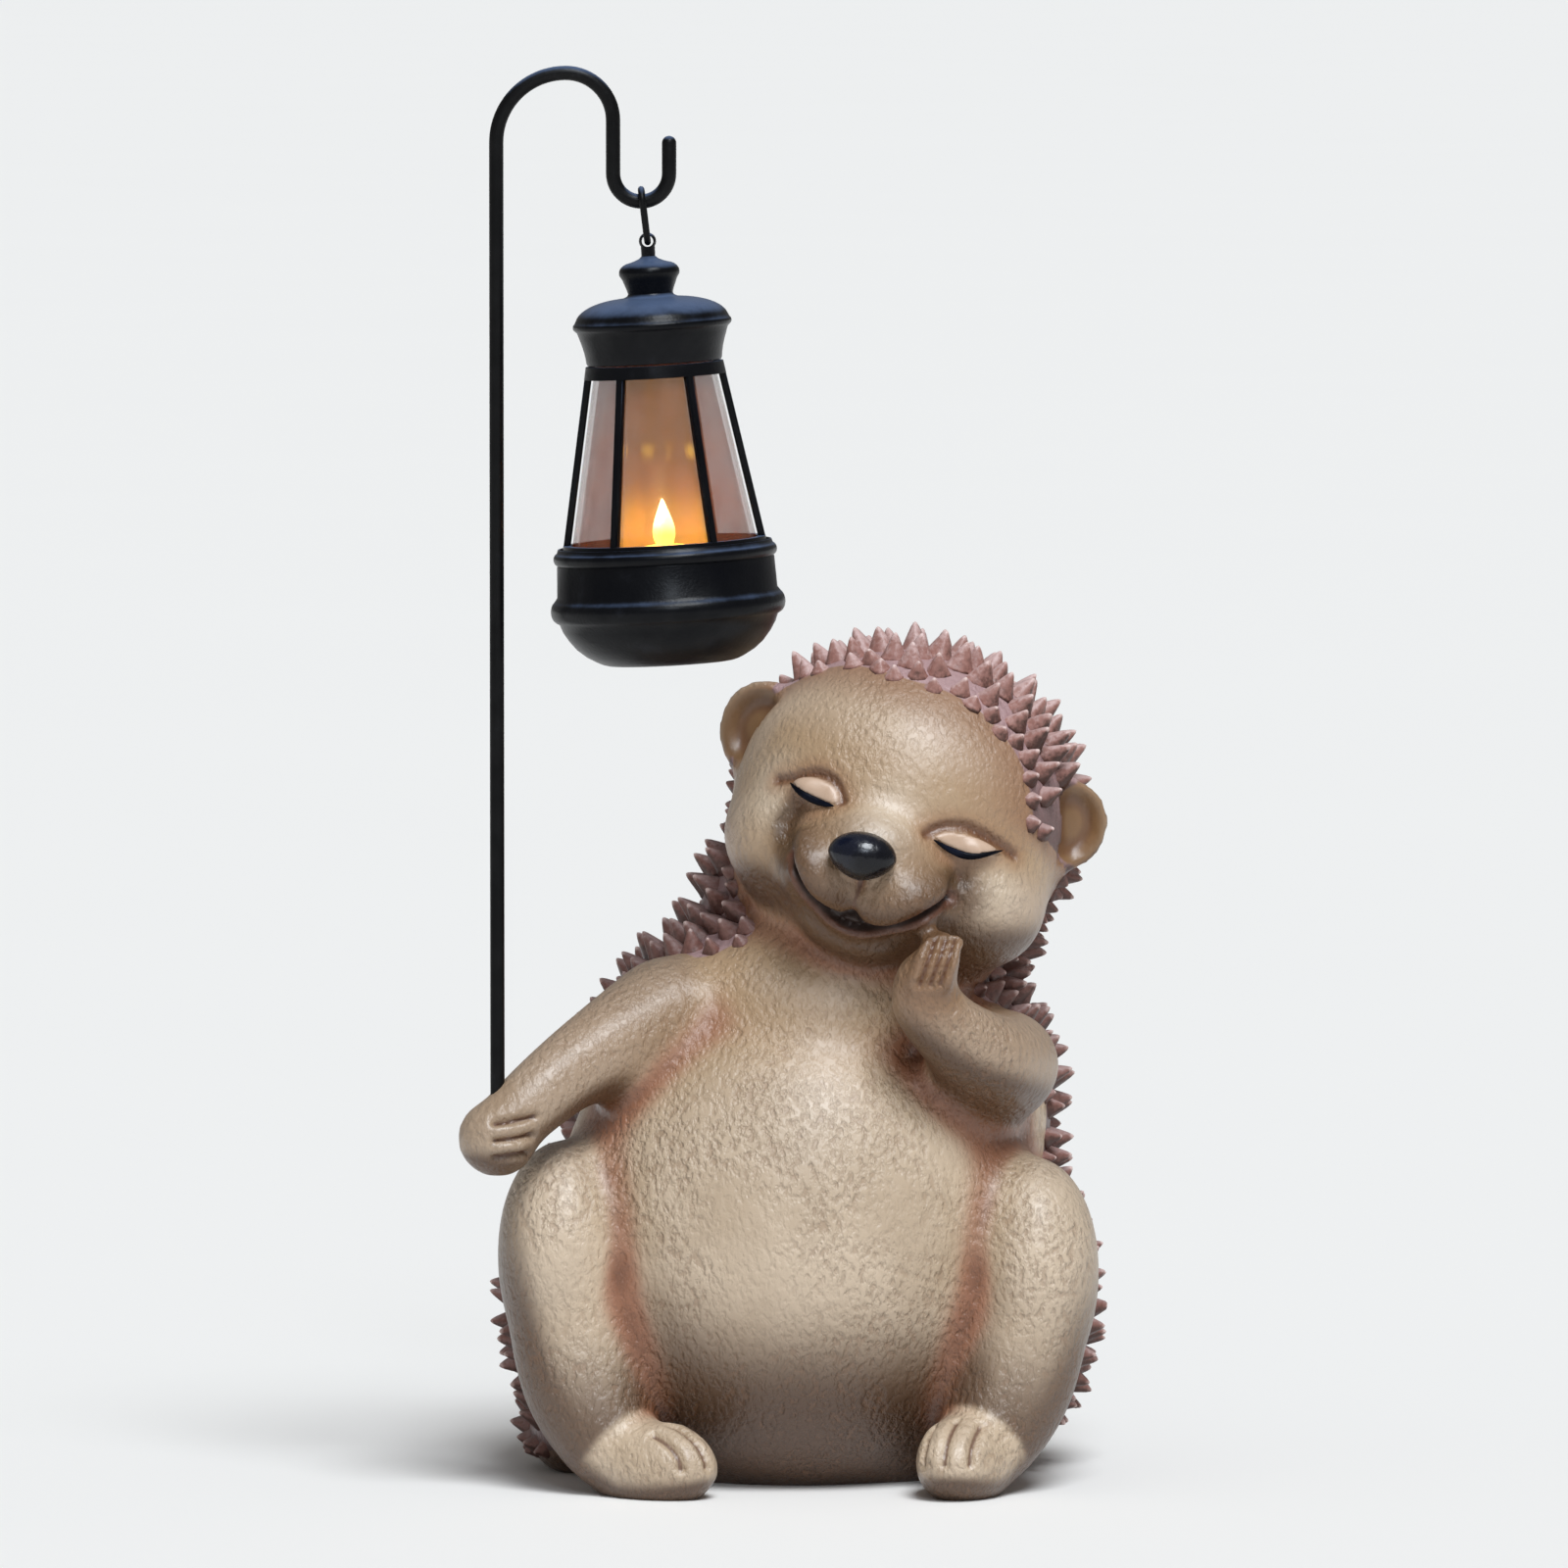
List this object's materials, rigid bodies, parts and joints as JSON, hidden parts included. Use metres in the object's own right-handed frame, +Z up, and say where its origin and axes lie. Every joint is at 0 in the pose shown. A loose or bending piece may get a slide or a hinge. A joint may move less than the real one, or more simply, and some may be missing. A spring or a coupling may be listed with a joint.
{
  "type": "hedgehog garden statue",
  "caption": "Seated smiling hedgehog in painted cast resin, one paw at its cheek, its other fist holding a steel wire crook from which a small lantern hangs.",
  "frame": {"origin": "middle of the flat underside below the belly, on the plane that the statue stands on", "axes": "+Z up, the figure faces -Y, and the fist with the crook is at -X"},
  "size_m": [0.1366, 0.1278, 0.2975],
  "materials": {
    "painted_resin": "matt painted cast resin, cream skin over brown washes",
    "black_steel": "satin black",
    "black_plastic": "satin black",
    "smoked_pane": "clear, smoky amber",
    "flame_lens": "frosted, glowing"
  },
  "bodies": {
    "root": {"hedgehog": "painted_resin", "crook_rod": "black_steel", "hanger_link": "black_steel", "lantern_roof": "black_plastic", "lantern_cage": "black_plastic", "lantern_pane": "smoked_pane", "lantern_base": "black_plastic", "flame_lamp": "flame_lens"}
  },
  "joints": []
}
